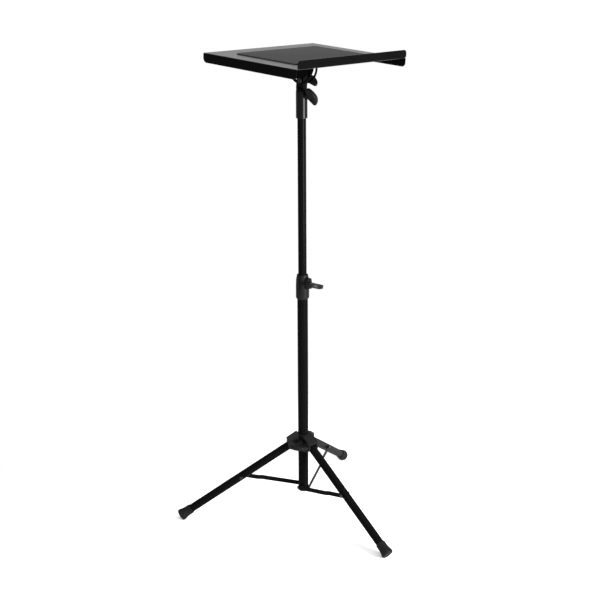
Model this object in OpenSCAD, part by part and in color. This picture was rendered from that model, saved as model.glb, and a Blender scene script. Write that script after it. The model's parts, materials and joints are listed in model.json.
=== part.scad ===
// Tripod stand with a tilting tray for a laptop or a small projector.
// Millimetres, +Z up. The origin is the point on the floor under the mast.
// The lip of the tray faces -Y.

/* [Tray] */
// Width of the tray over its side flanges
tray_w = 390; // [340:1:440]
// Depth of the tray from the lip to the back edge
tray_d = 319; // [280:1:350]
// Thickness of the sheet steel of the tray
sheet_t = 1.5; // [1:0.1:2]
// Drop of the side flanges below the tray's face
flange_h = 23; // [18:1:30]
// Rise of the front lip above the tray's face
lip_h = 20; // [12:1:30]
// Angle of the tray, back edge up
tray_tilt = 3.7; // [0:0.1:30]
// Distance from the tilt axis forward to the middle of the tray
tray_shift = 10; // [0:1:20]
// Width of the anti-slip pad
pad_w = 294; // [200:1:300]
// Depth of the anti-slip pad
pad_d = 210; // [150:1:240]
// Thickness of the anti-slip pad
pad_t = 2.5; // [2:0.5:4]

/* [Tilt joint] */
// Height of the tilt axis above the floor
tilt_z = 1221.7; // [1200:0.1:1240]
// Distance of the tilt axis in front of the mast's axis
tilt_y = -4; // [-8:1:0]
// Rise of the tray's face above the tilt axis
tray_rise = 28.9; // [26:0.1:36]
// Radius of the two slotted cheeks
cheek_r = 42; // [40:1:46]
// Radius of the middle of the curved slot
slot_r = 32.7; // [31:0.1:33]
// Width of the curved slot
slot_w = 7; // [6.6:0.1:7.4]

/* [Mast] */
// Outer radius of the upper tube
upper_r = 11; // [11:0.1:11.3]
// Outer radius of the lower tube
lower_r = 14; // [13.8:0.1:14.2]
// Wall of the steel tubes
tube_wall = 1.2; // [1:0.1:1.4]
// Height of the lower end of the mast above the floor
mast_foot_z = 66; // [60:1:68]
// Height of the top of the lower tube
lower_top_z = 668; // [660:1:680]
// Height of the top of the upper tube
upper_top_z = 1153; // [1140:1:1156]
// Length of the upper tube
upper_len = 600; // [560:1:640]
// Height of the lower rim of the socket
socket_z = 1095; // [1080:1:1105]
// Height of the seam between the socket and the head
seam_z = 1161; // [1158:1:1164]

/* [Tripod] */
// Turn of the legs about the mast, from the +X axis
leg_turn = 23.2; // [0:0.1:60]
// Slope of the open legs below the horizontal
leg_slope = 31.8; // [30:0.1:34]
// Length of a leg from its pivot to the end of its foot
leg_len = 363.8; // [350:0.1:380]
// Outer radius of a leg tube
leg_r = 11; // [10.5:0.1:11]
// Radius of the circle of leg pivots
pivot_r = 34; // [34:0.5:36]
// Distance from a leg's pivot to its strut's pivot
strut_at = 165.6; // [150:0.1:180]
// Height of the struts' lower pivots above the floor
strut_z = 72.8; // [72:0.1:80]
// Radius of a rubber foot
foot_r = 15.8; // [15:0.1:17]

/* [Knobs] */
// Half span of the two small wing knobs at the head
small_wing = 24; // [20:1:26]
// Half span of the two large wing knobs
large_wing = 29; // [26:1:30]

/* [Hidden] */
$fn = 48;
run_fit = 0.06;
face_gap = 0.3;
steel_black = "#1b1b1c";
plastic_black = "#262627";
rubber_black = "#202020";
zinc = "#8a8c90";
right = 0;
left = 1;
front = 2;

// Tray
bend_r = 3;
lip_bend_r = 2;
lip_w = tray_w - 4;
flange_front_r = 10;
flange_back_r = 12;
lip_corner_r = 9;
relief = 1.5;

// Tilt joint
cheek_t = 2;
cheek_x = 8.8;
cheek_flange = 24;
tongue_w = 2 * (cheek_x - cheek_t / 2 - face_gap);
bolt_r = 3;
slot_first = -178;
slot_last = -74;

// Tripod
hub_top = 46;
hub_bottom = -17;
hub_r = 18.5;
lug_reach = 45;
lug_w = 32;
lug_gap = 2 * leg_r + 0.8;
foot_len = 36;
foot_edge = 3;
strut_t = 2;
strut_h = 12;
strut_out = 16.6;
strut_in = 12.9;
crank_from = 118;
crank_to = 130;
rivet_r = 2.5;
pivot_z = (leg_len - foot_edge) * sin(leg_slope) + (foot_r - foot_edge) * cos(leg_slope) + foot_edge;
strut_rise = pivot_z - strut_at * sin(leg_slope) - strut_z;
strut_run = pivot_r + strut_at * cos(leg_slope);
strut_len = norm([strut_run, strut_rise]);
strut_slope = atan2(strut_rise, strut_run);

// Collar
collar_r = 17.5;
collar_z = 620;
clamp_z = 664;
screw_r = 4;

// Socket
socket_r = 14.5;
socket_screw_z = 1150;

// Places its children in the tray's frame, with the tilt axis as origin.
module tilt_frame() {
    translate([0, tilt_y, tilt_z]) rotate([tray_tilt, 0, 0]) children();
}

// Places its children in the plane of one leg, with x pointing outward.
module leg_plane(k) {
    rotate([0, 0, leg_turn + 120 * k]) children();
}

// Places its children on a leg's axis, with x running down the leg.
module leg_axis(k) {
    leg_plane(k) translate([pivot_r, 0, pivot_z]) rotate([0, leg_slope, 0]) children();
}

// Places its children on a strut's lower pivot, with x running up the strut.
module strut_axis(k) {
    leg_plane(k) translate([0, -strut_out, strut_z]) rotate([0, -strut_slope, 0]) children();
}

// A cylinder along x, from x0 to x1.
module rod_x(r, x0, x1) {
    translate([x0, 0, 0]) rotate([0, 90, 0]) cylinder(r = r, h = x1 - x0);
}

// A cylinder along y, from y0 to y1.
module rod_y(r, y0, y1) {
    translate([0, y0, 0]) rotate([-90, 0, 0]) cylinder(r = r, h = y1 - y0);
}

// Turns a profile in the YZ plane into a solid along x.
module along_x(width) {
    rotate([90, 0, 90]) linear_extrude(width, center = true) children();
}

// Turns a profile in the XZ plane into a solid along y.
module along_y(depth) {
    rotate([90, 0, 0]) linear_extrude(depth, center = true) children();
}

// A bar with two rounded top corners, for bent sheet.
module bent_outline(w, h, r) {
    translate([-w / 2 + r, -h]) square([w - 2 * r, h]);
    translate([-w / 2, -h]) square([w, h - r]);
    for (s = [-1, 1]) translate([s * (w / 2 - r), -r]) circle(r);
}

// What a rounded corner of radius r takes off a square one.
module corner_waste(r) {
    difference() {
        square(r + 1);
        circle(r);
    }
}

module tray_shell() {
    along_y(tray_d) difference() {
        bent_outline(tray_w, flange_h, bend_r);
        translate([0, -sheet_t])
            bent_outline(tray_w - 2 * sheet_t, flange_h, bend_r - sheet_t);
    }
}

// The lip rises from the deck in one bend.
module lip_outline() {
    difference() {
        union() {
            translate([0, -sheet_t]) square([lip_bend_r + sheet_t, lip_bend_r + sheet_t]);
            square([sheet_t, lip_h]);
        }
        translate([sheet_t + lip_bend_r, lip_bend_r]) circle(lip_bend_r);
        difference() {
            translate([-1, -sheet_t - 1]) square(lip_bend_r + sheet_t + 1);
            translate([sheet_t + lip_bend_r, lip_bend_r]) circle(lip_bend_r + sheet_t);
        }
        translate([sheet_t + lip_bend_r, 0]) square(lip_bend_r);
        translate([sheet_t, lip_bend_r]) square(lip_bend_r + 1);
    }
}

module tray() {
    color(steel_black) tilt_frame() translate([0, -tray_shift, tray_rise]) {
        difference() {
            tray_shell();
            // The deck stops where the lip's bend begins.
            translate([-tray_w / 2 + bend_r + relief, -tray_d / 2 - 1, -sheet_t - 1])
                cube([tray_w - 2 * bend_r - 2 * relief, 1 + sheet_t + lip_bend_r, sheet_t + 2]);
            // The side flanges end just behind the lip, with a relief cut at the bend.
            for (s = [-1, 1]) {
                translate([s * tray_w / 2 - 6, -tray_d / 2 - 1, -flange_h - 1])
                    cube([12, 1 + sheet_t + 1, flange_h + 2]);
                translate([s * tray_w / 2, 0, -flange_h]) along_x(20) {
                    translate([tray_d / 2 - flange_back_r, flange_back_r])
                        mirror([0, 1]) corner_waste(flange_back_r);
                    translate([-tray_d / 2 + sheet_t + 1 + flange_front_r, flange_front_r])
                        mirror([1, 0]) mirror([0, 1]) corner_waste(flange_front_r);
                }
            }
        }
        difference() {
            translate([0, -tray_d / 2, 0]) along_x(lip_w) lip_outline();
            for (s = [0, 1]) mirror([s, 0, 0])
                translate([lip_w / 2 - lip_corner_r, -tray_d / 2, lip_h - lip_corner_r])
                    along_y(20) corner_waste(lip_corner_r);
            // The lip's bend is cut clear of the side flanges.
            for (s = [-1, 1])
                translate([s * (tray_w / 2 - 2) - 3, -tray_d / 2 - 1, -sheet_t - 1])
                    cube([6, 8, sheet_t + 1 + lip_bend_r]);
        }
    }
}

module tray_pad() {
    color(rubber_black) tilt_frame() translate([0, -tray_shift, tray_rise])
        linear_extrude(pad_t) {
            square([pad_w - 16, pad_d], center = true);
            square([pad_w, pad_d - 16], center = true);
            for (x = [-1, 1], y = [-1, 1])
                translate([x * (pad_w / 2 - 8), y * (pad_d / 2 - 8)]) circle(8);
        }
}

// One slotted cheek: a half disc with a bent flange under the deck.
module cheek(side) {
    top = tray_rise - sheet_t;
    translate([side * cheek_x, 0, 0]) difference() {
        union() {
            along_x(cheek_t) {
                circle(r = cheek_r, $fn = 96);
                translate([-cheek_r, 0]) square([2 * cheek_r, top]);
            }
            translate([side * (cheek_flange / 2 - cheek_t / 2), 0, top - cheek_t / 2])
                cube([cheek_flange, 2 * cheek_r, cheek_t], center = true);
        }
        // Above the deck's underside nothing of the disc is left.
        translate([-cheek_t, -cheek_r - 1, top]) cube([2 * cheek_t, 2 * cheek_r + 2, cheek_r]);
        rod_x(bolt_r, -cheek_t, cheek_t);
        curved_slot(cheek_t * 2);
    }
}

// The curved slot, swept about the tilt axis, with round ends.
module curved_slot(depth) {
    rotate([90, 0, 90]) translate([0, 0, -depth / 2]) {
        rotate([0, 0, slot_first]) rotate_extrude(angle = slot_last - slot_first, $fn = 96)
            translate([slot_r - slot_w / 2, 0]) square([slot_w, depth]);
        for (a = [slot_first, slot_last])
            rotate([0, 0, a]) translate([slot_r, 0, 0]) cylinder(d = slot_w, h = depth);
    }
}

module cheek_left() {
    color(steel_black) tilt_frame() cheek(-1);
}

module cheek_right() {
    color(steel_black) tilt_frame() cheek(1);
}

// A hexagon head or nut along x, from x0 to x1.
module hex_x(across, x0, x1) {
    translate([x0, 0, 0]) rotate([0, 90, 0])
        cylinder(r = across / sqrt(3), h = x1 - x0, $fn = 6);
}

module tilt_bolt() {
    outer = cheek_x + cheek_t / 2;
    color(zinc) tilt_frame() {
        rod_x(bolt_r, -outer, outer);
        hex_x(10, -outer - 4, -outer);
        hex_x(10, outer, outer + 5);
    }
}

// The head: a spigot and dome with a flat tongue between the cheeks.
module head() {
    color(plastic_black) difference() {
        union() {
            translate([0, 0, upper_top_z + 2]) cylinder(r = upper_r - 0.2, h = seam_z - upper_top_z - 2);
            translate([0, 0, seam_z]) rotate_extrude() {
                square([13.6, 5]);
                translate([0, 5]) intersection() {
                    translate([0, -8]) circle(16);
                    square([13.6, 9]);
                }
            }
            translate([0, 0, seam_z]) along_x(tongue_w) {
                polygon([
                    [-12, 0], [12, 0], [12, 12],
                    [tilt_y + 11, tilt_z - seam_z], [tilt_y - 11, tilt_z - seam_z], [-12, 12]
                ]);
                translate([tilt_y, tilt_z - seam_z]) circle(11);
            }
        }
        translate([0, tilt_y, tilt_z]) rod_x(bolt_r + run_fit, -tongue_w, tongue_w);
        translate([0, tilt_y, tilt_z - slot_r]) rod_x(bolt_r, -tongue_w, tongue_w);
    }
}

module slot_bolt() {
    outer = cheek_x + cheek_t / 2 + face_gap;
    color(zinc) translate([0, tilt_y, tilt_z - slot_r]) {
        rod_x(bolt_r, -outer, outer + 14);
        rod_x(6.5, -outer - 3, -outer);
        rod_x(6.5, outer, outer + 1.2);
    }
}

module socket() {
    color(steel_black) difference() {
        union() {
            translate([0, 0, socket_z]) cylinder(r = socket_r, h = seam_z - socket_z);
            translate([0, 0, socket_screw_z]) rotate([0, 0, -90]) rod_x(7, 10, 18.5);
        }
        translate([0, 0, socket_z - 1]) cylinder(r = upper_r + run_fit, h = seam_z - socket_z + 2);
        translate([0, 0, socket_screw_z]) rotate([0, 0, -90]) rod_x(3 + run_fit, 8, 20);
    }
}

// Wing knob along x: a waisted stem and two swept wings with round tips.
module wing_knob(half_span, stem, thick) {
    wing_x = stem + 1;
    rotate([0, 90, 0]) rotate_extrude() polygon([
        [0, 0], [7.5, 0], [7.5, 2], [6, stem * 0.45], [6.2, stem + 5], [4.5, stem + 8], [0, stem + 8]
    ]);
    intersection() {
        // Side view: a crescent that sweeps away from the stem.
        rotate([0, 0, 0]) rotate([90, 0, 0]) linear_extrude(2 * thick, center = true) difference() {
            translate([wing_x + 11 - half_span, 0]) circle(r = half_span * 1.08, $fn = 96);
            translate([wing_x - half_span * 1.35, 0]) circle(r = half_span * 1.35, $fn = 96);
            translate([-100 + wing_x, -50]) square([100, 100]);
        }
        // End view: thick at the stem and thinner at the round tips.
        rotate([90, 0, 90]) linear_extrude(stem + 40) {
            for (s = [-1, 1]) translate([0, s * (half_span - thick * 0.5)]) circle(thick * 0.5);
            polygon([
                [-thick * 0.5, half_span - thick * 0.5], [-thick * 0.75, 0],
                [-thick * 0.5, -half_span + thick * 0.5], [thick * 0.5, -half_span + thick * 0.5],
                [thick * 0.75, 0], [thick * 0.5, half_span - thick * 0.5]
            ]);
        }
    }
}

module tilt_knob() {
    start = cheek_x + cheek_t / 2 + face_gap + 1.5;
    color(plastic_black) translate([start, tilt_y, tilt_z - slot_r]) difference() {
        rotate([60, 0, 0]) wing_knob(small_wing, 12, 7);
        rod_x(bolt_r + run_fit, -1, 13.5);
    }
}

module socket_knob() {
    color(plastic_black) translate([0, 0, socket_screw_z]) rotate([0, 0, -90]) {
        translate([19, 0, 0]) rotate([40, 0, 0]) wing_knob(small_wing, 12, 7);
        rod_x(3, upper_r + 0.5, 20);
    }
}

module upper_tube() {
    color(steel_black) difference() {
        translate([0, 0, upper_top_z - upper_len]) cylinder(r = upper_r, h = upper_len);
        translate([0, 0, upper_top_z - upper_len - 1]) cylinder(r = upper_r - tube_wall, h = upper_len + 2);
    }
}

module lower_tube() {
    color(steel_black) difference() {
        translate([0, 0, mast_foot_z]) cylinder(r = lower_r, h = lower_top_z - mast_foot_z);
        translate([0, 0, mast_foot_z - 1])
            cylinder(r = lower_r - tube_wall, h = lower_top_z - mast_foot_z + 2);
        for (k = [right, left, front])
            leg_plane(k) translate([0, 0, strut_z]) rod_y(rivet_r, -lower_r - 2, -lower_r + 4);
    }
}

// The clamp collar: bored for both tubes, slit, with a lug for its screw.
module collar() {
    color(plastic_black) difference() {
        union() {
            translate([0, 0, collar_z]) rotate_extrude() polygon([
                [0, 0], [15.2, 0], [collar_r, 4], [collar_r, 36], [16.9, 52], [14.6, 66], [0, 66]
            ]);
            translate([0, 0, clamp_z]) rotate([0, 0, -90]) {
                translate([8, -8, -13]) cube([18, 16, 22]);
                translate([8, 0, 9]) rod_x(8, 0, 18);
            }
        }
        translate([0, 0, collar_z - 1]) cylinder(r = lower_r, h = lower_top_z - collar_z + 1);
        translate([0, 0, lower_top_z - 1]) cylinder(r = upper_r + run_fit, h = 40);
        translate([0, 0, clamp_z]) rotate([0, 0, -90]) rod_x(screw_r + run_fit, 8, 30);
        rotate([0, 0, 200]) translate([0, -1, lower_top_z - 20]) cube([30, 2, 60]);
    }
}

module collar_knob() {
    color(plastic_black) translate([0, 0, clamp_z]) rotate([0, 0, -90]) {
        translate([26.6, 0, 0]) rotate([80, 0, 0]) wing_knob(large_wing, 13, 8.5);
        rod_x(screw_r, lower_r + 0.5, 28);
    }
}

module tube_plug() {
    inner = lower_r - tube_wall;
    color(plastic_black) difference() {
        union() {
            translate([0, 0, mast_foot_z]) cylinder(r = inner, h = 22);
            translate([0, 0, mast_foot_z - 3]) cylinder(r = lower_r, h = 3);
        }
        for (k = [right, left, front])
            leg_plane(k) translate([0, 0, strut_z]) rod_y(rivet_r, -inner - 2, -4);
    }
}

// Outline of a leg lug in the plane of its leg, about the leg's pivot.
module lug_outline() {
    x0 = 15 - pivot_r;
    x1 = lug_reach - pivot_r;
    polygon([
        [x0, hub_bottom], [x0 + 12, hub_bottom + 3], [x1 - 1, -6], [x1 - 1, 8],
        [x1, 18], [x1, 33], [x0 + 4, hub_top], [x0, hub_top]
    ]);
    circle(10.5);
}

module hub() {
    color(plastic_black) difference() {
        union() {
            translate([0, 0, pivot_z + hub_bottom]) rotate_extrude() polygon([
                [0, 0], [hub_r - 1, 0], [hub_r, 1], [hub_r, hub_top - hub_bottom - 2],
                [hub_r - 2, hub_top - hub_bottom], [0, hub_top - hub_bottom]
            ]);
            for (k = [right, left, front])
                leg_plane(k) translate([pivot_r, 0, pivot_z]) along_y(lug_w) lug_outline();
            leg_plane(left) rotate([0, 0, 60]) translate([0, 0, pivot_z + 9]) rod_x(9, 12, 31);
        }
        translate([0, 0, pivot_z - 60]) cylinder(r = lower_r + run_fit, h = 140);
        for (k = [right, left, front]) leg_plane(k) translate([pivot_r, 0, pivot_z]) {
            // The slot that the leg swings in, under the roof of the lug.
            along_y(lug_gap) polygon([
                [hub_r - pivot_r, -60], [hub_r - pivot_r, 15],
                [4, 18], [60, 18], [60, -60]
            ]);
            rod_y(bolt_r, -lug_w, lug_w);
            // Coring on both sides of the roof.
            for (s = [-1, 1]) translate([-pivot_r + 19, s * (lug_w / 2 - 1) - 2, 20])
                cube([10, 4, 12]);
        }
        leg_plane(left) rotate([0, 0, 60]) translate([0, 0, pivot_z + 9])
            rod_x(screw_r + run_fit, 10, 40);
    }
}

module hub_knob() {
    color(plastic_black) leg_plane(left) rotate([0, 0, 60]) translate([0, 0, pivot_z + 9]) {
        translate([31.6, 0, 0]) rotate([80, 0, 0]) wing_knob(large_wing - 2, 14, 8.5);
        rod_x(screw_r, lower_r + 0.5, 33);
    }
}

module leg_bolt(k) {
    color(zinc) leg_plane(k) translate([pivot_r, 0, pivot_z]) {
        rod_y(bolt_r, -lug_w / 2, lug_w / 2);
        rod_y(5.5, -lug_w / 2 - 2.5, -lug_w / 2);
        rod_y(5.5, lug_w / 2, lug_w / 2 + 2.5);
    }
}

// A leg tube, drilled for its hub bolt and its strut's rivet.
module leg(k) {
    color(steel_black) leg_axis(k) difference() {
        rod_x(leg_r, -8, leg_len - 6);
        rod_x(leg_r - tube_wall, -9, leg_len - 5);
        rod_y(bolt_r + run_fit, -20, 20);
        translate([strut_at, 0, 0]) rod_y(rivet_r, -20, 20);
    }
}

// A flared rubber foot that takes the end of the tube.
module foot(k) {
    color(rubber_black) leg_axis(k) translate([leg_len - foot_len, 0, 0])
        rotate([0, 90, 0]) rotate_extrude() {
            difference() {
                union() {
                    polygon([
                        [0, 0], [12.4, 0], [13, 1], [13.2, 15], [14.2, 23], [foot_r, 29],
                        [foot_r, foot_len - foot_edge], [foot_r - foot_edge, foot_len], [0, foot_len]
                    ]);
                    translate([foot_r - foot_edge, foot_len - foot_edge]) circle(foot_edge);
                }
                translate([-1, -1]) square([1 + leg_r, foot_len - 6 + 1]);
                translate([-5, -5]) square([5, 60]);
            }
        }
}

// A flat strut with round ends and a crank that brings it beside the leg.
module strut(k) {
    crank = strut_out - strut_in;
    color(steel_black) strut_axis(k) difference() {
        intersection() {
            linear_extrude(strut_h * 2, center = true) polygon([
                [-strut_h, -strut_t / 2], [crank_from, -strut_t / 2],
                [crank_to, crank - strut_t / 2], [strut_len + strut_h, crank - strut_t / 2],
                [strut_len + strut_h, crank + strut_t / 2], [crank_to - 1, crank + strut_t / 2],
                [crank_from - 1, strut_t / 2], [-strut_h, strut_t / 2]
            ]);
            along_y(strut_h) {
                translate([0, -strut_h / 2]) square([strut_len, strut_h]);
                for (x = [0, strut_len]) translate([x, 0]) circle(strut_h / 2);
            }
        }
        rod_y(rivet_r + run_fit, -5, 5);
        translate([strut_len, 0, 0]) rod_y(rivet_r, -5, 9);
    }
}

// The rivet that the strut carries at the leg.
module strut_rivet(k) {
    crank = strut_out - strut_in;
    color(zinc) strut_axis(k) translate([strut_len, crank, 0]) {
        rod_y(rivet_r, -strut_t / 2, strut_t / 2);
        rod_y(4.5, -strut_t / 2 - 1.8, -strut_t / 2);
    }
}

// The rivet that holds a strut's lower end to the mast.
module plug_rivet(k) {
    color(zinc) leg_plane(k) translate([0, 0, strut_z]) {
        rod_y(rivet_r, -strut_out - strut_t / 2 - face_gap, -6);
        rod_y(4.5, -strut_out - strut_t / 2 - face_gap - 1.8, -strut_out - strut_t / 2 - face_gap);
        // A spacer holds the strut off the round tube.
        rod_y(4.5, -strut_out + strut_t / 2 + face_gap, -lower_r);
    }
}

// The half of the strut's rivet that stays in the leg, with its far head.
module leg_rivet(k) {
    color(zinc) leg_axis(k) translate([strut_at, 0, 0]) {
        rod_y(rivet_r, -leg_r, leg_r);
        rod_y(4.5, leg_r, leg_r + 1.8);
    }
}

module leg_bolt_right() { leg_bolt(right); }
module leg_bolt_left() { leg_bolt(left); }
module leg_bolt_front() { leg_bolt(front); }
module leg_right() { leg(right); }
module leg_left() { leg(left); }
module leg_front() { leg(front); }
module foot_right() { foot(right); }
module foot_left() { foot(left); }
module foot_front() { foot(front); }
module strut_right() { strut(right); }
module strut_left() { strut(left); }
module strut_front() { strut(front); }
module strut_rivet_right() { strut_rivet(right); }
module strut_rivet_left() { strut_rivet(left); }
module strut_rivet_front() { strut_rivet(front); }
module leg_rivet_right() { leg_rivet(right); }
module leg_rivet_left() { leg_rivet(left); }
module leg_rivet_front() { leg_rivet(front); }
module plug_rivet_right() { plug_rivet(right); }
module plug_rivet_left() { plug_rivet(left); }
module plug_rivet_front() { plug_rivet(front); }

tray();
tray_pad();
cheek_left();
cheek_right();
tilt_bolt();
head();
socket();
slot_bolt();
tilt_knob();
socket_knob();
upper_tube();
lower_tube();
collar();
collar_knob();
tube_plug();
hub();
hub_knob();
leg_bolt_right();
leg_bolt_left();
leg_bolt_front();
leg_right();
leg_left();
leg_front();
foot_right();
foot_left();
foot_front();
strut_right();
strut_left();
strut_front();
strut_rivet_right();
strut_rivet_left();
strut_rivet_front();
leg_rivet_right();
leg_rivet_left();
leg_rivet_front();
plug_rivet_right();
plug_rivet_left();
plug_rivet_front();
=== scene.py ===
"""Dresses the tripod stand: coated steel, moulded nylon, a foam pad, rubber feet and a studio."""

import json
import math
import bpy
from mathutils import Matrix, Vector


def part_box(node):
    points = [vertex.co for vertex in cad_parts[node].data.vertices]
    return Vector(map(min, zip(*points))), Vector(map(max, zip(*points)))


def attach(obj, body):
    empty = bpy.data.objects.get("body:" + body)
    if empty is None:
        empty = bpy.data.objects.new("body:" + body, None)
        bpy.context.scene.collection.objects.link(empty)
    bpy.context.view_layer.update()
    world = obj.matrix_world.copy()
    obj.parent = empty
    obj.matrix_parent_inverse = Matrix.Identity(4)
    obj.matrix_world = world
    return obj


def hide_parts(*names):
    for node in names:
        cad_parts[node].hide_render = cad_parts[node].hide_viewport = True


bl_info = {
    "name": "Tripod Tray Stand",
    "version": (1, 0, 0),
    "blender": (4, 5, 0),
    "location": "View3D > Sidebar > Stand",
    "description": "Builds the surfaces of the tripod tray stand and the studio around it",
    "category": "Object",
}

import bmesh
import bpy
from mathutils import Matrix, Vector

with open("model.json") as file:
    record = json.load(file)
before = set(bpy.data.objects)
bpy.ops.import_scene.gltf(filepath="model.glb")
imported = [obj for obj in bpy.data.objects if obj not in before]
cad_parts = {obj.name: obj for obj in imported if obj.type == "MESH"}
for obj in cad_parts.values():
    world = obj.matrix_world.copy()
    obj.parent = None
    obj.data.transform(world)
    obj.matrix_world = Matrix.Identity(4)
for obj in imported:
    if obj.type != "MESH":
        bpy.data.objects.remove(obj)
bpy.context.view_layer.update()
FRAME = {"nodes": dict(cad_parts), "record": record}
RECORD = FRAME["record"]
JOINTS = {joint["name"]: joint for joint in RECORD["behaviour"]["joints"]}
BODY_OF = {n: body for body, nodes in RECORD["behaviour"]["bodies"].items() for n in nodes}
SLOT_OF = {part["node"]: part["material_slot"] for part in RECORD["subparts"]}
SIDES = ("right", "left", "front")

# Meshes: all lengths are in metres
MERGE_DISTANCE = 1e-6
FLAT_ANGLE = math.radians(0.6)  # flatter facets are joined before the edges are rounded
EDGE_ANGLE = math.radians(40)  # sharper edges are rounded
SHARP_ANGLE = math.radians(50)  # sharper edges stay sharp in the shading
PAD_SHARP_ANGLE = math.radians(60)
PAD_RIM_ANGLE = 1.2  # radians; the pad's top meets its sides at a larger one

# The boss of the hub's knob, which keeps its form when the roofs are lowered
BOSS_FROM = 0.015  # from the mast's axis
BOSS_HALF_WIDTH = 0.0095
BOSS_RISE = 0.0105  # above the height where the lowering begins

# Wings: front edge at the middle and both edges at the tips, as shares of the half span
WING_APEX = 1.23
WING_TIP_FRONT = 0.73
WING_TIP_BACK = 0.46
WING_BACK = 0.003  # rear edge at the middle, from the stem's foot
WING_ROOT = 0.006  # half width of the straight part of the rear edge
WING_MIDDLE = 0.75  # half thickness at the middle, as a share of the thickness at the tips
WING_TAPER = 0.25  # how much of that share is lost towards the tips
WING_STATIONS = 24
STEM_FACES = 32
# Distance along the axis and radius, from the stem's foot to the centre of its face
STEM_PROFILE = (
    (0, 0.0075), (0.0016, 0.0078), (0.0024, 0.0075), (0.006, 0.0066), (0.012, 0.0066),
    (0.015, 0.0045), (0.016, 0),
)
# Stem's foot from the joint's point, turn of the wings in degrees, their half span and
# thickness at the tips, radius and length of the screw behind the stem
WING_KNOBS = {
    "tilt_knob": (-0.0184, -57, 0.025, 0.0075, 0.003, 0),
    "socket_knob": (-0.011, 33, 0.025, 0.0075, 0.003, 0.0075),
    "collar_knob": (-0.0084, 74, 0.029, 0.0085, 0.004, 0.012),
    "hub_knob": (-0.0034, 80, 0.024, 0.008, 0.004, 0.017),
}

# The camera that was fitted to the photograph
PHOTO_WIDTH = 589  # pixels
FOCAL_LENGTH = 1100.2  # pixels
CAMERA_PLACE = (-1.99057, -1.92384, 1.49137)
CAMERA_TURN = (72.7316, 0.3868, -45.6578)  # degrees
SENSOR_WIDTH = 36  # millimetres
CLIP_START = 0.05
CLIP_END = 60

# The studio
FLOOR_RADIUS = 12
FLOOR_SIDES = 96
STRIP_TURN = math.radians(3)  # from the front towards the right
STRIP_REACH = 2.1
STRIP_HEIGHT = 0.7
STRIP_SIZE = (0.3, 0.64)
TOP_PLACE = (-0.6, -0.4, 3.2)
TOP_TARGET = (0, 0, 0.6)
TOP_SIZE = (2.4, 2.4)


# Settings


class StandFinishes(bpy.types.PropertyGroup):
    """Colours and surface values of the stand."""

    steel_colour: bpy.props.FloatVectorProperty(
        name="Powder coat", description="Colour of the coated steel", subtype="COLOR",
        size=3, min=0, max=1, default=(0.002, 0.002, 0.0021))
    steel_roughness: bpy.props.FloatProperty(
        name="Coat roughness", description="Roughness of the powder coat", subtype="FACTOR",
        min=0.05, max=1, default=0.3)
    steel_gloss: bpy.props.FloatProperty(
        name="Coat reflectance", description="Strength of the coat's reflections",
        subtype="FACTOR", min=0, max=1, default=0.012)
    sleeve_gloss: bpy.props.FloatProperty(
        name="Sleeve reflectance", description="Strength of the socket sleeve's reflections",
        subtype="FACTOR", min=0, max=1, default=0.08)
    deck_gloss: bpy.props.FloatProperty(
        name="Deck reflectance", description="Strength of the deck's reflections in a flat view",
        subtype="FACTOR", min=0, max=1, default=0.22)
    peel_size: bpy.props.FloatProperty(
        name="Orange peel", description="Size of the ripples in the powder coat",
        subtype="DISTANCE", unit="LENGTH", min=0.0002, max=0.01, default=0.0012)
    nylon_colour: bpy.props.FloatVectorProperty(
        name="Moulded nylon",
        description="Colour of the hub, the collar and the end plug; the head is darker",
        subtype="COLOR", size=3, min=0, max=1, default=(0.0045, 0.0045, 0.0047))
    knob_colour: bpy.props.FloatVectorProperty(
        name="Knobs", description="Colour of the wing knobs", subtype="COLOR",
        size=3, min=0, max=1, default=(0.004, 0.004, 0.0042))
    pad_colour: bpy.props.FloatVectorProperty(
        name="Pad", description="Colour of the foam pad", subtype="COLOR",
        size=3, min=0, max=1, default=(0.028, 0.028, 0.029))
    rubber_colour: bpy.props.FloatVectorProperty(
        name="Feet", description="Colour of the rubber feet", subtype="COLOR",
        size=3, min=0, max=1, default=(0.005, 0.005, 0.005))
    zinc_colour: bpy.props.FloatVectorProperty(
        name="Black zinc", description="Colour of bolts and rivets", subtype="COLOR",
        size=3, min=0, max=1, default=(0.014, 0.014, 0.0145))


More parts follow.
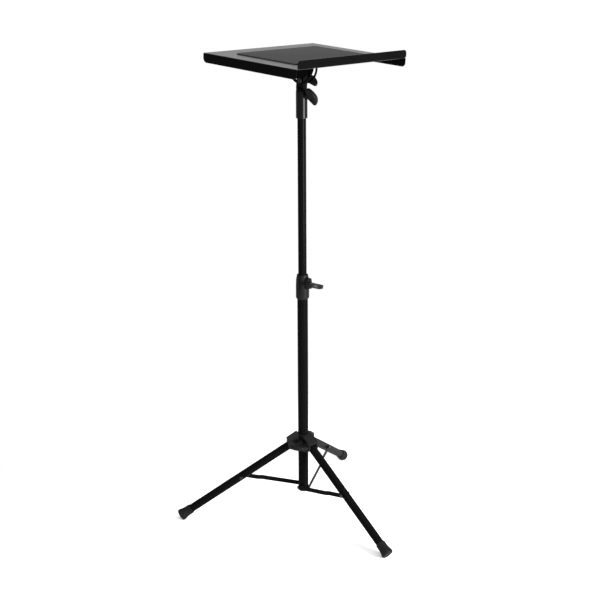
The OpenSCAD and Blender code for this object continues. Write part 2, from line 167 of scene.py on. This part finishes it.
class StandShapes(bpy.types.PropertyGroup):
    """Sizes of the roundings, the hub's roofs and the pad."""

    sheet_round: bpy.props.FloatProperty(
        name="Sheet edges", description="Rounding of the coated sheet edges",
        subtype="DISTANCE", unit="LENGTH", min=0.0001, max=0.001, default=0.0004)
    mould_round: bpy.props.FloatProperty(
        name="Moulded edges", description="Rounding of the moulded edges",
        subtype="DISTANCE", unit="LENGTH", min=0.0001, max=0.002, default=0.0008)
    pad_round: bpy.props.FloatProperty(
        name="Pad edge", description="Rounding of the pad's upper edge",
        subtype="DISTANCE", unit="LENGTH", min=0.0002, max=0.002, default=0.0005)
    wing_round: bpy.props.FloatProperty(
        name="Wing edges", description="Rounding of the edges of the wing knobs",
        subtype="DISTANCE", unit="LENGTH", min=0.0005, max=0.003, default=0.0022)
    roof_from: bpy.props.FloatProperty(
        name="Roof start",
        description="Height above the leg pivots where the lowering of the roofs begins",
        subtype="DISTANCE", unit="LENGTH", min=0, max=0.02, default=0.008)
    roof_high: bpy.props.FloatProperty(
        name="Roof at sleeve",
        description="Height of the roof at the sleeve, as a share of the solid's",
        subtype="FACTOR", min=0.1, max=1, default=0.58)
    roof_low: bpy.props.FloatProperty(
        name="Roof at end",
        description="Height of the roof at a lug's end, as a share of the solid's",
        subtype="FACTOR", min=0.1, max=1, default=0.2)
    roof_inner: bpy.props.FloatProperty(
        name="Roof inner edge", description="Distance from the mast's axis where the slope starts",
        subtype="DISTANCE", unit="LENGTH", min=0.01, max=0.03, default=0.0185)
    roof_outer: bpy.props.FloatProperty(
        name="Roof outer edge", description="Distance from the mast's axis where the slope ends",
        subtype="DISTANCE", unit="LENGTH", min=0.03, max=0.06, default=0.045)
    pad_corner: bpy.props.FloatProperty(
        name="Pad corners", description="Radius of the pad's corners",
        subtype="DISTANCE", unit="LENGTH", min=0.001, max=0.03, default=0.008)
    pad_margin: bpy.props.FloatProperty(
        name="Pad margin",
        description="How far the foam stays inside its space at each side, "
                    "and half as far at the front and the back",
        subtype="DISTANCE", unit="LENGTH", min=0, max=0.01, default=0.006)


class StudioSettings(bpy.types.PropertyGroup):
    """Camera, floor and lamps."""

    camera_place: bpy.props.FloatVectorProperty(
        name="Camera", description="Where the camera stands", subtype="TRANSLATION",
        size=3, default=CAMERA_PLACE)
    camera_turn: bpy.props.FloatVectorProperty(
        name="Camera turn", description="How the camera is turned", subtype="EULER",
        unit="ROTATION", size=3, default=tuple(math.radians(a) for a in CAMERA_TURN))
    view_angle: bpy.props.FloatProperty(
        name="View angle", description="Angle of view across the square picture", subtype="ANGLE",
        unit="ROTATION", min=0.1, max=2, default=2 * math.atan(PHOTO_WIDTH / 2 / FOCAL_LENGTH))
    floor_colour: bpy.props.FloatVectorProperty(
        name="Floor", description="Colour of the floor", subtype="COLOR",
        size=3, min=0, max=1, default=(0.97, 0.97, 0.97))
    clear_from: bpy.props.FloatProperty(
        name="Floor fade start",
        description="Distance from the mast where the floor starts to fade to white",
        subtype="DISTANCE", unit="LENGTH", min=0, max=5, default=0.3)
    clear_to: bpy.props.FloatProperty(
        name="Floor fade end", description="Distance from the mast where the floor is white",
        subtype="DISTANCE", unit="LENGTH", min=0, max=10, default=0.95)
    room_light: bpy.props.FloatProperty(
        name="Room light", description="Strength of the even light of the room",
        min=0, max=3, default=1.0)
    strip_power: bpy.props.FloatProperty(
        name="Strip lamp", description="Power of the tall lamp in front, which ends below the tray",
        subtype="POWER", unit="POWER", min=0, max=900, default=140)
    top_power: bpy.props.FloatProperty(
        name="Top lamp", description="Power of the large lamp overhead",
        subtype="POWER", unit="POWER", min=0, max=500, default=30)


def finishes():
    return bpy.context.scene.stand_finishes


def shapes():
    return bpy.context.scene.stand_shapes


def studio():
    return bpy.context.scene.stand_studio


# Materials


class Wire:
    """A socket of a shader tree that can be used in Python expressions."""

    def __init__(self, tree, socket):
        self.tree = tree
        self.socket = socket

    def _math(self, operation, first, second):
        node = self.tree.nodes.new("ShaderNodeMath")
        node.operation = operation
        for socket, value in zip(node.inputs, (first, second)):
            if isinstance(value, Wire):
                self.tree.links.new(value.socket, socket)
            else:
                socket.default_value = value
        return Wire(self.tree, node.outputs[0])

    def __add__(self, other):
        return self._math("ADD", self, other)

    def __radd__(self, other):
        return self._math("ADD", other, self)

    def __sub__(self, other):
        return self._math("SUBTRACT", self, other)

    def __rsub__(self, other):
        return self._math("SUBTRACT", other, self)

    def __mul__(self, other):
        return self._math("MULTIPLY", self, other)

    def __rmul__(self, other):
        return self._math("MULTIPLY", other, self)


class Tree:
    """A node tree in the making. Its node method adds every kind of node."""

    def __init__(self, tree):
        self.tree = tree
        tree.nodes.clear()

    def node(self, kind, settings=None, values=None, out=0):
        """Adds a node, sets it, fills or links its sockets and gives one of its outputs."""
        node = self.tree.nodes.new("ShaderNode" + kind)
        for name, value in (settings or {}).items():
            setattr(node, name, value)
        for name, value in (values or {}).items():
            socket = node.inputs[name]
            if isinstance(value, Wire):
                self.tree.links.new(value.socket, socket)
            else:
                socket.default_value = value
        return Wire(self.tree, node.outputs[out]) if node.outputs else None

    def place(self):
        """The place on the object, in metres."""
        return self.node("TexCoord", out="Object")

    def noise(self, size, detail=2.0, roughness=0.5):
        """Noise from 0 to 1 whose patches are about size metres wide."""
        return self.node("TexNoise", values={
            "Vector": self.place(), "Scale": 1 / size, "Detail": detail, "Roughness": roughness})

    def mottle(self, mask, colour, dark, light):
        """Goes from a darker to a lighter shade of a colour as the mask goes from 0 to 1."""
        # The Mix node's colour sockets share their names with others, so they go by number.
        return self.node("Mix", {"data_type": "RGBA"}, {
            0: mask, 6: (*shade(colour, dark), 1), 7: (*shade(colour, light), 1)}, out=2)

    def bump(self, height, strength, depth):
        """The normal of a relief whose height of 1 stands for depth metres."""
        return self.node("Bump", values={
            "Strength": strength, "Distance": depth, "Height": height})

    def blend(self, factor, first, second):
        """Mixes two shaders."""
        return self.node("MixShader", values={0: factor, 1: first, 2: second})

    def seen_directly(self):
        """1 for camera, glossy and transmission rays, 0 for the rays that light a surface."""
        rays = [self.node("LightPath", out=name)
                for name in ("Is Camera Ray", "Is Glossy Ray", "Is Transmission Ray")]
        return self.node("Clamp", values={"Value": rays[0] + rays[1] + rays[2]})


def shade(colour, factor):
    return tuple(min(1, c * factor) for c in colour)


def material(name, shader):
    """The material of that name. When it is new, shader(tree) adds its shader."""
    if name not in bpy.data.materials:
        new = bpy.data.materials.new(name)
        new.use_nodes = True
        tree = Tree(new.node_tree)
        tree.node("OutputMaterial", values={"Surface": shader(tree)})
    return bpy.data.materials[name]


def coat(name, face_gloss, slant_gloss=0.0, slant_from=0.72, slant_to=0.93):
    """Black powder coat with fine orange peel, whose gloss changes towards a slanting view.

    slant_from and slant_to say where it changes: 0 is a surface seen face on, 1 is its rim.
    """
    f = finishes()

    def shader(tree):
        peel = tree.noise(size=f.peel_size, detail=1.5)
        grit = tree.noise(size=f.peel_size / 5, detail=1.0)
        cloud = tree.noise(size=0.06, detail=3.0)
        smoothest = f.steel_roughness - 0.04
        common = {
            "IOR": 1.5,
            "Base Color": tree.mottle(cloud, f.steel_colour, dark=0.85, light=1.2),
            "Roughness": smoothest + cloud * 0.06 + grit * 0.03,
            "Normal": tree.bump(peel * 0.8 + grit * 0.2, strength=0.12, depth=0.0001),
        }
        face, slant = (tree.node("BsdfPrincipled", values={**common, "Specular IOR Level": gloss})
                       for gloss in (face_gloss, slant_gloss))
        turned = tree.node("LayerWeight", out="Facing")
        factor = tree.node("MapRange", values={
            "Value": turned, "From Min": slant_from, "From Max": slant_to})
        return tree.blend(factor, face, slant)

    return material(name, shader)


def powder_coat():
    """The coat of tubes and brackets, whose rims stay dark."""
    return coat("powder_coat", face_gloss=finishes().steel_gloss)


def sleeve_coat():
    """The glossier coat of the socket sleeve."""
    return coat("sleeve_coat", face_gloss=finishes().sleeve_gloss)


def tray_coat():
    """The coat of the tray, whose deck shines in a flat view."""
    return coat("tray_coat", face_gloss=0.01, slant_gloss=finishes().deck_gloss,
                slant_from=0.4, slant_to=0.66)


def moulded(name, colour, roughness, gloss, grain):
    """A moulded surface with a spark-eroded grain and faint flow marks."""

    def shader(tree):
        fine = tree.noise(size=grain, detail=2.0, roughness=0.6)
        flow = tree.noise(size=0.02, detail=4.0, roughness=0.55)
        smoothest = roughness - 0.06
        return tree.node("BsdfPrincipled", values={
            "IOR": 1.5,
            "Specular IOR Level": gloss,
            "Base Color": tree.mottle(flow, colour, dark=0.8, light=1.25),
            "Roughness": smoothest + fine * 0.08 + flow * 0.05,
            "Normal": tree.bump(fine, strength=0.3, depth=0.00008),
        })

    return material(name, shader)


def nylon():
    return moulded("moulded_nylon", finishes().nylon_colour,
                   roughness=0.5, gloss=0.07, grain=0.0004)


def head_nylon():
    """The head's nylon is smoother and darker than the hub's."""
    return moulded("head_nylon", shade(finishes().nylon_colour, factor=0.5),
                   roughness=0.42, gloss=0.02, grain=0.0004)


def knob_nylon():
    return moulded("knob_nylon", finishes().knob_colour,
                   roughness=0.42, gloss=0.07, grain=0.0005)


def foot_rubber():
    return moulded("moulded_rubber", finishes().rubber_colour,
                   roughness=0.65, gloss=0.05, grain=0.0008)


def foam():
    """Foamed rubber: open pores, a colour mottled at random in patches and darkened in the pores as
    painted shade, and little gloss.
    """

    def shader(tree):
        # Pores about 0.9 mm apart
        cells = tree.node("TexVoronoi", {"feature": "F1"}, {
            "Vector": tree.place(), "Scale": 1100.0})
        pores = tree.node("MapRange", values={
            "Value": cells, "From Min": 0.05, "From Max": 0.45, "To Min": 0.0, "To Max": 1.0})
        patches = tree.noise(size=0.012, detail=4.0, roughness=0.6)
        height = pores * 0.7 + tree.noise(size=0.0015) * 0.3
        return tree.node("BsdfPrincipled", values={
            "IOR": 1.45,
            "Specular IOR Level": 0.3,
            # The colour is darker in the pores, where the relief sinks, as painted shade; the
            # patches vary at random.
            "Base Color": tree.mottle(
                pores * 0.6 + patches * 0.4, finishes().pad_colour, dark=0.55, light=1.3),
            "Roughness": 0.92 - pores * 0.08,
            "Normal": tree.bump(height, strength=0.5, depth=0.0003),
        })

    return material("foam_rubber", shader)


def zinc():
    """Black zinc plating on turned steel."""

    def shader(tree):
        grain = tree.noise(size=0.0004, detail=3.0)
        cloud = tree.noise(size=0.004, detail=2.0)
        return tree.node("BsdfPrincipled", values={
            "Metallic": 0.3,
            "IOR": 1.5,
            "Specular IOR Level": 0.1,
            "Base Color": tree.mottle(cloud, finishes().zinc_colour, dark=0.7, light=1.4),
            "Roughness": 0.3 + grain * 0.18,
            "Normal": tree.bump(grain, strength=0.2, depth=0.00005),
        })

    return material("plated_steel", shader)


FINISH_OF_SLOT = {
    "steel_coat": powder_coat,
    "moulding": nylon,
    "knob": knob_nylon,
    "pad_rubber": foam,
    "foot_rubber": foot_rubber,
    "black_zinc": zinc,
}


def paint(obj, look):
    """Gives an object one material."""
    obj.data.materials.clear()
    obj.data.materials.append(look)


# Pieces


def add_object(name, data):
    obj = bpy.data.objects.new(name, data)
    bpy.context.scene.collection.objects.link(obj)
    return obj


def add_mesh(name, bm, look):
    """Turns a bmesh into an object at the origin."""
    mesh = bpy.data.meshes.new(name)
    bm.to_mesh(mesh)
    bm.free()
    obj = add_object(name, mesh)
    paint(obj, look)
    return obj


def add_piece(name, bm, node, look, sharp_angle=SHARP_ANGLE):
    """Turns a bmesh into a smooth shaded piece that replaces a CAD node on its body."""
    for face in bm.faces:
        face.smooth = True
    for edge in bm.edges:
        edge.smooth = edge.calc_face_angle(math.pi) < sharp_angle
    obj = add_mesh(name, bm, look)
    paint(FRAME["nodes"][node], look)
    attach(obj, BODY_OF[node])
    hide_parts(node)
    return obj


def edges_over(bm, angle):
    return [edge for edge in bm.edges if edge.calc_face_angle(0) > angle]


def bevel(bm, geom, width, segments, affect="EDGES", clamp_overlap=False):
    bmesh.ops.bevel(
        bm, geom=geom, offset=width, offset_type="OFFSET", segments=segments, profile=0.5,
        affect=affect, clamp_overlap=clamp_overlap, material=-1)


def rounded_copy(node, width, finish, reshape):
    """Replaces a CAD node by a merged copy of it whose edges are rounded.
    """
    bm = bmesh.new()
    bm.from_mesh(FRAME["nodes"][node].data)
    bmesh.ops.remove_doubles(bm, verts=bm.verts, dist=MERGE_DISTANCE)
    bmesh.ops.dissolve_limit(
        bm, angle_limit=FLAT_ANGLE, use_dissolve_boundaries=False,
        verts=bm.verts, edges=bm.edges, delimit=set())
    if reshape:
        reshape(bm)
    bevel(bm, edges_over(bm, EDGE_ANGLE), width, segments=2, clamp_overlap=True)
    look = (finish or FINISH_OF_SLOT[SLOT_OF[node]])()
    obj = add_piece(node + "_finished", bm, node, look)
    even = obj.modifiers.new("even_normals", "WEIGHTED_NORMAL")
    even.keep_sharp = True


def dress(nodes, width, finish=None, reshape=None):
    """Rounds the edges of CAD nodes. Their slots give the finish where none is given."""
    for node in nodes:
        rounded_copy(node, width, finish, reshape)


def lower_roofs(bm):
    """Slopes the roofs of the hub's lugs down towards their ends."""
    s = shapes()
    pivots = [Vector(JOINTS["leg_" + side + "_fold"]["pos_m"]) for side in SIDES]
    axle = Vector(JOINTS["hub_knob_turn"]["axis"])
    start_z = pivots[0].z + s.roof_from
    inner, outer = s.roof_inner, s.roof_outer
    for vert in bm.verts:
        flat = Vector((vert.co.x, vert.co.y, 0))
        in_boss = (flat.dot(axle) > BOSS_FROM and abs(flat.cross(axle).z) < BOSS_HALF_WIDTH
                   and vert.co.z < start_z + BOSS_RISE)
        if vert.co.z <= start_z or in_boss:
            continue
        out = max(flat.dot(Vector((p.x, p.y, 0)).normalized()) for p in pivots)
        share = min(1, max(0, (out - inner) / (outer - inner)))
        squeeze = s.roof_high + share * (s.roof_low - s.roof_high)
        vert.co.z = start_z + (vert.co.z - start_z) * squeeze


def wing_station(span, half_span):
    """Rear and front edge of the wings at a distance from the knob's axis."""
    apex, tip_front, tip_back = (
        half_span * k for k in (WING_APEX, WING_TIP_FRONT, WING_TIP_BACK))
    # The front edge is an arc through the apex and both tips.
    bow = (half_span ** 2 + (apex - tip_front) ** 2) / (2 * (apex - tip_front))
    front = apex - bow + math.sqrt(bow ** 2 - span ** 2)
    beyond = max(0, abs(span) - WING_ROOT)
    back = WING_BACK + beyond * (tip_back - WING_BACK) / (half_span - WING_ROOT)
    return back, front


def add_wings(bm, half_span, thick):
    """Two wings that sweep forward, in one blade across the axis."""
    rings = []
    for i in range(WING_STATIONS + 1):
        span = half_span * (2 * i / WING_STATIONS - 1)
        back, front = wing_station(span, half_span)
        half = thick * (WING_MIDDLE - WING_TAPER * abs(span) / half_span)
        corners = ((back, -half), (front, -half), (front, half), (back, half))
        rings.append([bm.verts.new((x, y, span)) for x, y in corners])
    for first, second in zip(rings, rings[1:]):
        for k in range(len(first)):
            bm.faces.new((first[k], first[k - 1], second[k - 1], second[k]))
    bm.faces.new(rings[0])
    bm.faces.new(rings[-1][::-1])
    bmesh.ops.recalc_face_normals(bm, faces=bm.faces)
    bevel(bm, edges_over(bm, EDGE_ANGLE), shapes().wing_round, segments=4, clamp_overlap=True)


def add_stem(bm, screw_radius, screw_length):
    """The turned stem, with its screw if that has a length."""
    screw = ((-screw_length, 0), (-screw_length, screw_radius), (0, screw_radius))
    profile = (screw if screw_length else ((0, 0),)) + STEM_PROFILE
    line = [bm.verts.new((x, radius, 0)) for x, radius in profile]
    edges = [bm.edges.new(pair) for pair in zip(line, line[1:])]
    bmesh.ops.spin(bm, geom=line + edges, axis=(1, 0, 0), cent=(0, 0, 0), steps=STEM_FACES,
                   angle=2 * math.pi, use_merge=True)
    bmesh.ops.remove_doubles(bm, verts=bm.verts, dist=MERGE_DISTANCE)
    bmesh.ops.recalc_face_normals(bm, faces=bm.faces)


def wing_knob(node, start, turn, half_span, thick, screw_radius, screw_length):
    """A moulded wing knob on its joint's axis: a stem with its screw, and two wings."""
    joint = JOINTS[node + "_turn"]
    ahead = Vector(joint["axis"])
    side = Vector((0, 0, 1)).cross(ahead).normalized()
    # Local x runs along the axis, y across and z up before the turn.
    axes = Matrix((ahead, side, ahead.cross(side))).transposed().to_4x4()
    place = (Matrix.Translation(Vector(joint["pos_m"]) + ahead * start) @ axes
             @ Matrix.Rotation(math.radians(turn), 4, "X"))
    bm = bmesh.new()
    add_wings(bm, half_span, thick)
    add_stem(bm, screw_radius, screw_length)
    bmesh.ops.transform(bm, matrix=place, verts=bm.verts)
    add_piece(node + "_wings", bm, node, knob_nylon())


# Operators


class STAND_OT_tray(bpy.types.Operator):
    """Coat the folded steel tray"""

    bl_idname = "stand.tray"
    bl_label = "Tray"

    def execute(self, context):
        dress(["tray"], shapes().sheet_round, finish=tray_coat)
        return {"FINISHED"}


class STAND_OT_pad(bpy.types.Operator):
    """Lay the foam pad on the tray"""

    bl_idname = "stand.pad"
    bl_label = "Pad"

    def execute(self, context):
        s = shapes()
        face = next(m for m in RECORD["mounts"] if m["name"] == "device_face")
        normal = Vector(face["axis"])
        turn = normal.to_track_quat("Z", "Y").to_matrix().to_4x4()
        low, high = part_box("tray_pad")
        across, along, rise = high - low
        # The box of a tilted slab gives its depth and thickness.
        slope, level = abs(normal.y), normal.z
        spread = level * level - slope * slope
        depth = (along * level - rise * slope) / spread
        thick = (rise * level - along * slope) / spread
        size = (across - 2 * s.pad_margin, depth - s.pad_margin, 1)
        bm = bmesh.new()
        bmesh.ops.create_grid(bm, x_segments=1, y_segments=1, size=0.5)
        bmesh.ops.scale(bm, vec=size, verts=bm.verts)
        bevel(bm, bm.verts[:], s.pad_corner, segments=6, affect="VERTICES")
        grown = bmesh.ops.extrude_face_region(bm, geom=bm.faces[:])
        sunk = [v for v in grown["geom"] if isinstance(v, bmesh.types.BMVert)]
        bmesh.ops.translate(bm, vec=(0, 0, -thick), verts=sunk)
        bmesh.ops.recalc_face_normals(bm, faces=bm.faces)
        rim = [edge for edge in edges_over(bm, PAD_RIM_ANGLE)
               if min(v.co.z for v in edge.verts) > -thick / 2]
        bevel(bm, rim, s.pad_round, segments=4)
        place = Matrix.Translation(face["pos_m"]) @ turn
        bmesh.ops.transform(bm, matrix=place, verts=bm.verts)
        pad = add_piece("pad_foam", bm, "tray_pad", foam(), PAD_SHARP_ANGLE)
        return {"FINISHED"}


class STAND_OT_tilt_joint(bpy.types.Operator):
    """Finish the slotted cheeks, the head and their bolts"""

    bl_idname = "stand.tilt_joint"
    bl_label = "Tilt joint"

    def execute(self, context):
        s = shapes()
        dress(["cheek_left", "cheek_right", "tilt_bolt", "slot_bolt"], s.sheet_round)
        dress(["head"], s.mould_round, finish=head_nylon)
        return {"FINISHED"}


class STAND_OT_knobs(bpy.types.Operator):
    """Make the four wing knobs"""

    bl_idname = "stand.knobs"
    bl_label = "Wing knobs"

    def execute(self, context):
        for node, sizes in WING_KNOBS.items():
            wing_knob(node, *sizes)
        return {"FINISHED"}


class STAND_OT_mast(bpy.types.Operator):
    """Finish the two tubes, the socket, the collar and the end plug"""

    bl_idname = "stand.mast"
    bl_label = "Mast"

    def execute(self, context):
        s = shapes()
        dress(["upper_tube", "lower_tube"], s.sheet_round)
        dress(["socket"], s.sheet_round, finish=sleeve_coat)
        dress(["collar", "tube_plug"], s.mould_round)
        return {"FINISHED"}


class STAND_OT_hub(bpy.types.Operator):
    """Finish the sliding hub and its bolts"""

    bl_idname = "stand.hub"
    bl_label = "Hub"

    def execute(self, context):
        s = shapes()
        dress(["hub"], s.mould_round, reshape=lower_roofs)
        dress(["leg_bolt_" + side for side in SIDES], s.sheet_round)
        return {"FINISHED"}


class STAND_OT_legs(bpy.types.Operator):
    """Finish the legs and their rubber feet"""

    bl_idname = "stand.legs"
    bl_label = "Legs"

    def execute(self, context):
        s = shapes()
        dress(["leg_" + side for side in SIDES], s.sheet_round)
        dress(["foot_" + side for side in SIDES], s.mould_round)
        return {"FINISHED"}


class STAND_OT_struts(bpy.types.Operator):
    """Finish the flat struts and their rivets"""

    bl_idname = "stand.struts"
    bl_label = "Struts"

    def execute(self, context):
        for kind in ("strut_", "strut_rivet_", "leg_rivet_", "plug_rivet_"):
            dress([kind + side for side in SIDES], shapes().sheet_round)
        return {"FINISHED"}


def floor_paper():
    """Pale paper that fades to plain white away from the stand."""
    s = studio()

    def shader(tree):
        reach = tree.node("VectorMath", {"operation": "LENGTH"}, {0: tree.place()}, out="Value")
        away = tree.node("MapRange", {"interpolation_type": "SMOOTHSTEP"}, {
            "Value": reach, "From Min": s.clear_from, "From Max": s.clear_to})
        paper = tree.node("BsdfDiffuse", values={"Color": (*s.floor_colour, 1)})
        white = tree.node("Emission", values={"Color": (1, 1, 1, 1), "Strength": 1.0})
        return tree.blend(away * tree.seen_directly(), paper, white)

    return material("studio_floor", shader)


def add_floor():
    bm = bmesh.new()
    bmesh.ops.create_circle(bm, cap_ends=True, segments=FLOOR_SIDES, radius=FLOOR_RADIUS)
    add_mesh("studio_floor", bm, floor_paper())


def add_lamp(name, place, target, size, power):
    lamp = bpy.data.lights.new(name, "AREA")
    lamp.shape = "RECTANGLE"
    lamp.size, lamp.size_y = size
    lamp.energy = power
    obj = add_object(name, lamp)
    obj.location = place
    obj.rotation_euler = (Vector(target) - Vector(place)).to_track_quat("-Z", "Y").to_euler()


def light_room(scene):
    """Even light of a chosen strength, before a background that stays white."""
    s = studio()
    world = bpy.data.worlds.new("studio_room")
    scene.world = world
    world.use_nodes = True
    tree = Tree(world.node_tree)
    strength = s.room_light + tree.seen_directly() * (1 - s.room_light)
    back = tree.node("Background", values={"Color": (1, 1, 1, 1), "Strength": strength})
    tree.node("OutputWorld", values={"Surface": back})


def add_camera(scene):
    s = studio()
    camera = bpy.data.cameras.new("camera")
    camera.sensor_fit = "HORIZONTAL"
    camera.sensor_width = SENSOR_WIDTH
    camera.angle = s.view_angle
    camera.clip_start = CLIP_START
    camera.clip_end = CLIP_END
    obj = add_object("camera", camera)
    obj.location = s.camera_place
    obj.rotation_euler = s.camera_turn
    scene.camera = obj


class STAND_OT_studio(bpy.types.Operator):
    """Set up the floor, the lamps, the room light and the camera"""

    bl_idname = "stand.studio"
    bl_label = "Studio"

    def execute(self, context):
        s = studio()
        add_floor()
        front = Vector((math.sin(STRIP_TURN), -math.cos(STRIP_TURN), 0))
        target = Vector((0, 0, STRIP_HEIGHT))
        add_lamp("strip_lamp", front * STRIP_REACH + target, target, STRIP_SIZE, s.strip_power)
        add_lamp("top_lamp", TOP_PLACE, TOP_TARGET, TOP_SIZE, s.top_power)
        light_room(context.scene)
        add_camera(context.scene)
        context.scene.view_settings.view_transform = "Standard"
        return {"FINISHED"}


class STAND_PT_panel(bpy.types.Panel):
    """Lists the settings and the steps that dress the stand"""

    bl_idname = "STAND_PT_panel"
    bl_label = "Tripod tray stand"
    bl_space_type = "VIEW_3D"
    bl_region_type = "UI"
    bl_category = "Stand"

    def draw(self, context):
        for group in GROUPS:
            settings = getattr(context.scene, group)
            box = self.layout.box()
            for name in settings.__annotations__:
                box.prop(settings, name)
        column = self.layout.column()
        for step in STEPS:
            column.operator(step.bl_idname)


STEPS = (
    STAND_OT_tray, STAND_OT_pad, STAND_OT_tilt_joint, STAND_OT_knobs, STAND_OT_mast,
    STAND_OT_hub, STAND_OT_legs, STAND_OT_struts, STAND_OT_studio,
)
GROUPS = {
    "stand_finishes": StandFinishes,
    "stand_shapes": StandShapes,
    "stand_studio": StudioSettings,
}


def register():
    for group in GROUPS.values():
        bpy.utils.register_class(group)
    for step in (*STEPS, STAND_PT_panel):
        bpy.utils.register_class(step)
    for name, group in GROUPS.items():
        setattr(bpy.types.Scene, name, bpy.props.PointerProperty(type=group))


def unregister():
    for name in GROUPS:
        delattr(bpy.types.Scene, name)
    for item in (STAND_PT_panel, *reversed(STEPS), *reversed(GROUPS.values())):
        bpy.utils.unregister_class(item)


def main():
    register()
    for step in STEPS:
        prefix, name = step.bl_idname.split(".")
        getattr(getattr(bpy.ops, prefix), name)()


if __name__ == "__main__":
    main()
